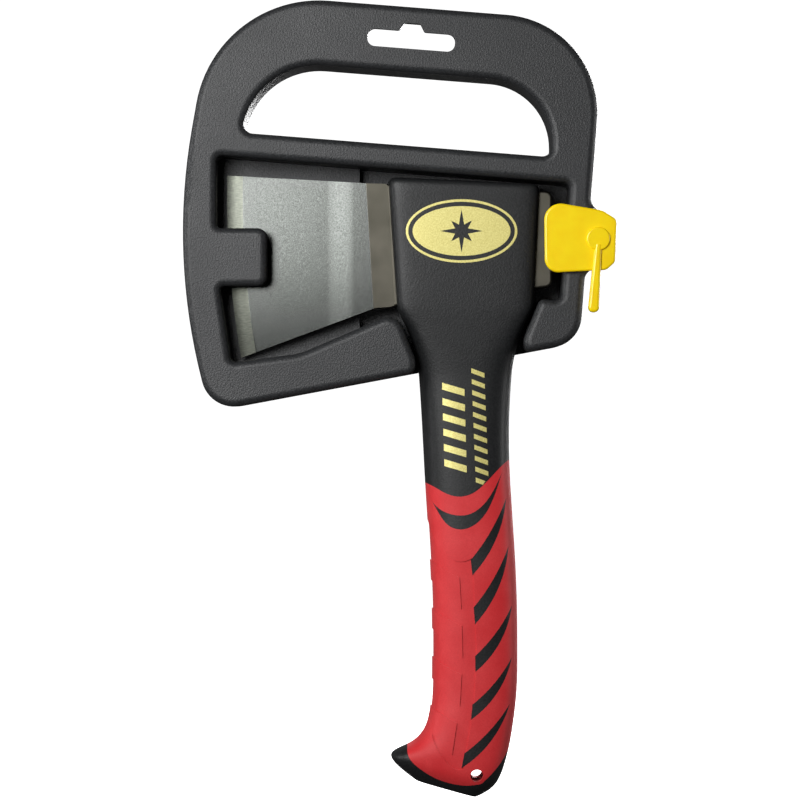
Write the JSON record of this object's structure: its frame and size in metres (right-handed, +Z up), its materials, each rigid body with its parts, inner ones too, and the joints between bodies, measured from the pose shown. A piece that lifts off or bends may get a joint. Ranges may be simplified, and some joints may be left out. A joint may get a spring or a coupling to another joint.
{
  "type": "camping hatchet in carry case",
  "caption": "Small hatchet with a forged head, a moulded handle and a soft grip, held in a tray-shaped carry case by a turning latch.",
  "frame": {"origin": "middle of the hang slot, half way through the carry case", "axes": "+Z up along the upright handle, -X towards the cutting edge, -Y out of the case's open front"},
  "size_m": [0.1584, 0.0345, 0.2922],
  "materials": {
    "case_plastic": "grained",
    "head_steel": "satin",
    "core_glass_fibre": "pultruded",
    "handle_plastic": "fine grain",
    "grip_rubber": "matt",
    "latch_plastic": "smooth",
    "fastener_steel": "zinc plated"
  },
  "bodies": {
    "sheath": {"sheath_front_shell": "case_plastic", "sheath_back_shell": "case_plastic"},
    "axe": {"axe_head": "head_steel", "core_rod": "core_glass_fibre", "handle_body": "handle_plastic", "grip_overmould": "grip_rubber"},
    "latch": {"latch_lever": "latch_plastic", "latch_washer": "fastener_steel", "latch_screw": "fastener_steel"}
  },
  "joints": [
    {"name": "latch_turn", "type": "hinge", "parent": "sheath", "child": "latch", "pos_m": [0.06811, 0, -0.07267], "axis": [0, -1, 0], "range_deg": [0, 180]},
    {"name": "axe_swing_out", "type": "hinge", "parent": "sheath", "child": "axe", "pos_m": [-0.067, 0, -0.075], "axis": [0, 0, -1], "range_deg": [0, 5]}
  ],
  "couplings": [
    {"joint": "axe_swing_out", "follows": "latch_turn", "ratio": 0.027778}
  ]
}
